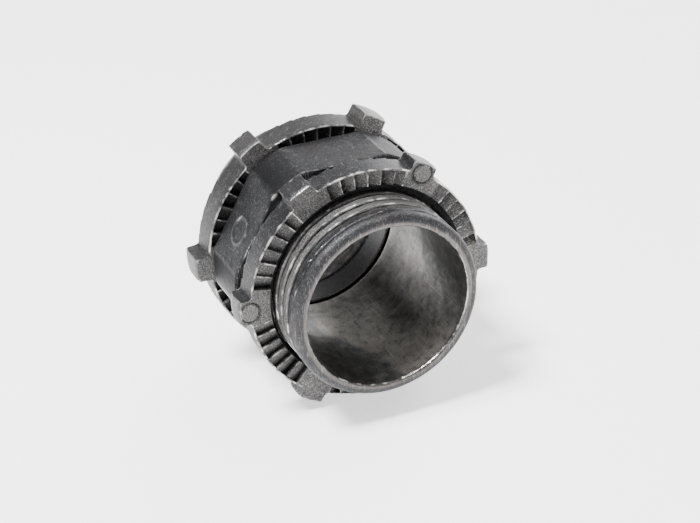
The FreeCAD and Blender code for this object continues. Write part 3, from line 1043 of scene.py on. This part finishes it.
@dataclass
class CompressionNut(LuggedNut):
    """The nut on the boss, with the tapered collar behind its flange."""

    collar_r: float = 15.67
    lip_r: float = RING.side - RING_WALL + LIP_CLEARANCE
    lip_wall: float = 0.85
    seat_r: float = RING.side + SEAT_GAP
    nut_back: float = NUT.back
    boss_back: float = BODY.back
    taper_start: float = RING.back + RING_BEVEL
    lip_front: float = RING.back + RING_BEVEL - (RING_WALL + SEAT_GAP - LIP_CLEARANCE) / SLOPE

    def front_inner(self, angle: Array) -> Array:
        """Radius just outside the thread's mouth."""
        return np.full(angle.shape, self.bore_r + 0.30)

    def back_inner(self) -> float:
        """Radius of the collar at the flange."""
        return self.collar_r

    def inside(self, angle: Array) -> Rows:
        """Rows down the collar, round the lip, up the taper and through the thread.

        Args:
            angle: Column angles in radians, without the nut's turn.

        Returns:
            Its rows.
        """
        thread = Thread()
        end, lip, collar = self.nut_back, self.lip_r, self.collar_r
        outer_lip = lip + self.lip_wall
        engaged = self.bore_r - NUT_THREAD
        lead = spread((self.boss_back + 0.35, 30), (self.front - 1.0, 1))
        plain = [
            (self.back - 0.15, collar), (self.back - 0.4, collar),
            *zip(np.linspace(self.back - 0.9, end + 0.5, 13),
                 np.linspace(collar - 0.20, outer_lip + 0.06, 13)),
            (end + 0.25, outer_lip - 0.02), (end + 0.07, outer_lip - 0.12), (end, outer_lip - 0.28),
            (end, lip + 0.20), (end + 0.05, lip + 0.07), (end + 0.2, lip),
            *zip(np.linspace(end + 0.8, self.lip_front - 0.05, 5), np.full(5, lip)),
            *zip(np.linspace(self.lip_front + 0.1, self.taper_start - 0.05, 5),
                 np.linspace(lip + 0.06, self.seat_r - 0.03, 5)),
            (self.taper_start + 0.1, self.seat_r), (self.boss_back - 1.28, self.seat_r),
            (self.boss_back - 0.65, self.bore_r + 0.15), (self.boss_back + 0.25, self.bore_r + 0.15),
        ]
        plain_x, plain_r = np.array(plain).T
        rows = np.concatenate([plain_x, lead, [self.front - 0.5, self.front - 0.1]])
        x = np.broadcast_to(rows, (angle.shape[0], len(rows))).copy()
        r = np.broadcast_to(np.concatenate([plain_r, np.full(len(lead), engaged),
                                            [self.bore_r - 0.1, self.bore_r + 0.24]]), x.shape).copy()
        flank_gap = 2 * THREAD_CLEARANCE / math.cos(math.radians(30))
        floor = thread.crest + flank_gap - 2 * THREAD_CLEARANCE * SLOPE
        gap = thread.phase(angle, x, thread.pitch / 2)
        opening = floor + 2 * NUT_THREAD * SLOPE
        threaded = slice(len(plain_x), len(plain_x) + len(lead))
        r[:, threaded] += NUT_THREAD * groove_depth(gap, floor, opening)[:, threaded]
        order = np.arange(len(rows))[None, :]
        marks = {
            # Painted shade over the thread and the rows just before it.
            "hollow": np.where(order > 31, 0.55, 0.0) + 0.0 * x,
            "wear": 0.35 * bump_at(rows, end, 0.2)[None, :] + 0.0 * x,
            "grit": np.where(order < 18, 0.5, 0.1) + 0.0 * x,
            "bore": np.where((order > 18) & (order < 26), 1.0, 0.0) + 0.0 * x,
            "pale": 0.3 * self.wash + 0.0 * x,
        }
        return x, r, marks


# ---------------- the split ring


@dataclass
class SplitRing:
    """The steel ring with a bevel at each end and a slot on its upper side."""

    bore_r: float = RING.side - RING_WALL
    wall: float = RING_WALL
    front: float = RING.front
    back: float = RING.back
    bevel: float = RING_BEVEL
    slot: float = 1.40

    def build(self) -> bpy.types.Object:
        """Make the piece: its section carried round the axis from one side of the slot to the other.

        Returns:
            The ring's object.
        """
        front, back, bore = self.front, self.back, self.bore_r
        outer = bore + self.wall
        nose = outer - self.bevel * SLOPE
        edge = 0.06
        section = [
            (front, bore + edge), (front, nose - edge), (front - edge, nose),
            (front - self.bevel + edge, outer - edge / 2), (front - self.bevel - edge, outer),
            (back + self.bevel + edge, outer), (back + self.bevel - edge, outer - edge / 2),
            (back + edge, nose), (back, nose - edge), (back, bore + edge),
            (back + edge, bore), (front - edge, bore),
        ]
        rows_x, rows_r = np.array(section).T
        half = math.asin(self.slot / 2 / (bore + self.wall / 2))
        angles = math.pi / 2 + np.linspace(half, 2 * math.pi - half, 181)
        angle, x = np.meshgrid(angles, rows_x, indexing="ij")
        r = np.broadcast_to(rows_r, x.shape).copy()
        rows = len(rows_x)
        # The front end and its bevel are painted light to lift the dark crevice in front of them.
        painted_light_face = (np.arange(rows) < 4).astype(float)
        skin = Skin(angle, x, r, {"wear": np.broadcast_to(painted_light_face, x.shape)})
        last = (len(angles) - 1) * rows
        caps = [list(reversed(range(rows))), [last + k for k in range(rows)]]
        quads = grid_quads(*x.shape, wrap_columns=False)
        return make_piece("split_ring", "compression_ring", skin, quads[:, ::-1], caps, 30.0)


# ---------------- studio


@dataclass
class Studio:
    """Floor, lights, sky and camera."""

    azimuth: float = 67.34
    elevation: float = 28.23
    distance: float = 0.24563
    roll: float = -2.26
    lens: float = 92.6
    aim: tuple = (-0.00023, 0.00016, 0.00051)

    def floor(self) -> None:
        """A broad pale sheet under the lowest lug."""
        size = 3.0
        low = CAD_BOX[0][2]
        mesh = bpy.data.meshes.new("floor")
        corners = [(-size, -size, low), (size, -size, low), (size, size, low), (-size, size, low)]
        mesh.from_pydata(corners, [], [(0, 1, 2, 3)])
        sheet = new_object("floor", mesh)
        g = MaterialGraph("pale_floor")
        g.set_shader(Base_Color=(0.97, 0.97, 0.97, 1.0), Roughness=0.9,
                     Emission_Color=(1.0, 1.0, 1.0, 1.0), Emission_Strength=1.1)
        mesh.materials.append(g.material)

    def light(self, name: str, place: tuple, target: tuple, size: tuple, power: float) -> None:
        """One soft box that faces a target.

        Args:
            name: Name of the light.
            place: Where it stands, in metres.
            target: What it faces.
            size: Width and height, in metres.
            power: In watts.
        """
        lamp = bpy.data.lights.new(name, "AREA")
        lamp.shape = "RECTANGLE"
        lamp.size, lamp.size_y = size
        lamp.energy = power
        item = new_object(name, lamp)
        item.location = place
        item.rotation_euler = (Vector(target) - Vector(place)).to_track_quat("-Z", "Y").to_euler()

    def lights(self) -> None:
        """A key overhead, a wide fill from the right and a pale room that is darker on the left."""
        self.light("overhead", (0.03, -0.22, 0.48), (0, 0, 0), (0.14, 0.14), 9.0)
        self.light("right", (-0.35, 0.50, 0.22), (0, 0, 0), (0.45, 0.35), 4.0)
        world = bpy.data.worlds.new("pale_room")
        world.use_nodes = True
        g = Graph(world.node_tree)
        place = g.node("ShaderNodeTexCoord", out="Generated")
        side = g.node("ShaderNodeSeparateXYZ", {}, {0: place}, out="Y")
        sky = g.node("ShaderNodeBackground", {}, {"Color": (1.0, 1.0, 1.0, 1.0),
                                                  "Strength": 0.25 + side.ramp(-0.7, 0.9) * 0.78})
        g.feed(g.tree.nodes.new("ShaderNodeOutputWorld").inputs["Surface"], sky)
        bpy.context.scene.world = world

    def camera(self) -> None:
        """Camera at its azimuth, elevation and distance from the aim, rolled a little."""
        a, e = math.radians(self.azimuth), math.radians(self.elevation)
        away = Vector((math.sin(a) * math.cos(e), -math.cos(a) * math.cos(e), math.sin(e)))
        lens = bpy.data.cameras.new("camera")
        lens.lens = self.lens
        lens.sensor_width = 36.0
        lens.clip_start = 0.01
        item = new_object("camera", lens)
        turn = (-away).to_track_quat("-Z", "Y").to_matrix() @ Matrix.Rotation(math.radians(self.roll), 3, "Z")
        item.matrix_world = Matrix.Translation(Vector(self.aim) + away * self.distance) @ turn.to_4x4()
        bpy.context.scene.camera = item

    def build(self) -> None:
        """Set up the whole studio."""
        self.floor()
        self.lights()
        self.camera()


# ---------------- assembly


def dress(piece: bpy.types.Object, material: bpy.types.Material, body: str, node: str) -> None:
    """Give a piece its finish and tie it to the frame.

    Args:
        piece: The new object.
        material: Its finish.
        body: CAD body that it moves with.
        node: CAD node that it stands for.
    """
    piece.data.materials.append(material)
    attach(piece, body)
    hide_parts(node)
    LOG.info("%s: %d faces on %s", piece.name, len(piece.data.polygons), body)


def main() -> None:
    """Build every piece, then the studio."""
    logging.basicConfig(level=logging.INFO, format="%(name)s %(message)s")
    body_zinc = CastZinc("cast_zinc_body", Tone.BODY).make()
    nut_zinc = CastZinc("cast_zinc_nut", Tone.NUT).make()
    steel = SpringSteel("spring_steel").make()

    connector = ConnectorBody()
    dress(connector.build(), body_zinc, "body", "connector_body")
    locknut = Locknut("lugged_locknut", "locknut", bore_r=connector.nipple_r + THREAD_CLEARANCE,
                      rim_r=LOCK.top, lug_height=LOCK.side - LOCK.top,
                      front=LOCK.front - DISC_HEIGHT, back=LOCK.back, turn=0.0, seed=31)
    dress(locknut.build(), nut_zinc, "locknut", "locknut")
    nut = CompressionNut("lugged_compression_nut", "compression_nut",
                         bore_r=connector.boss_r + THREAD_CLEARANCE,
                         rim_r=NUT.side - NUT_LUG_HEIGHT, lug_height=NUT_LUG_HEIGHT,
                         front=NUT.front, back=NUT.front - NUT_FLANGE, turn=NUT_TURN, seed=41,
                         # The compression nut's teeth get painted shade.
                         blackening=0.92, wash=0.22, back_tooth=0.30, discs=False)
    dress(nut.build(), nut_zinc, "nut", "compression_nut")
    dress(SplitRing().build(), steel, "ring", "compression_ring")
    Studio().build()


if __name__ == "__main__":
    main()
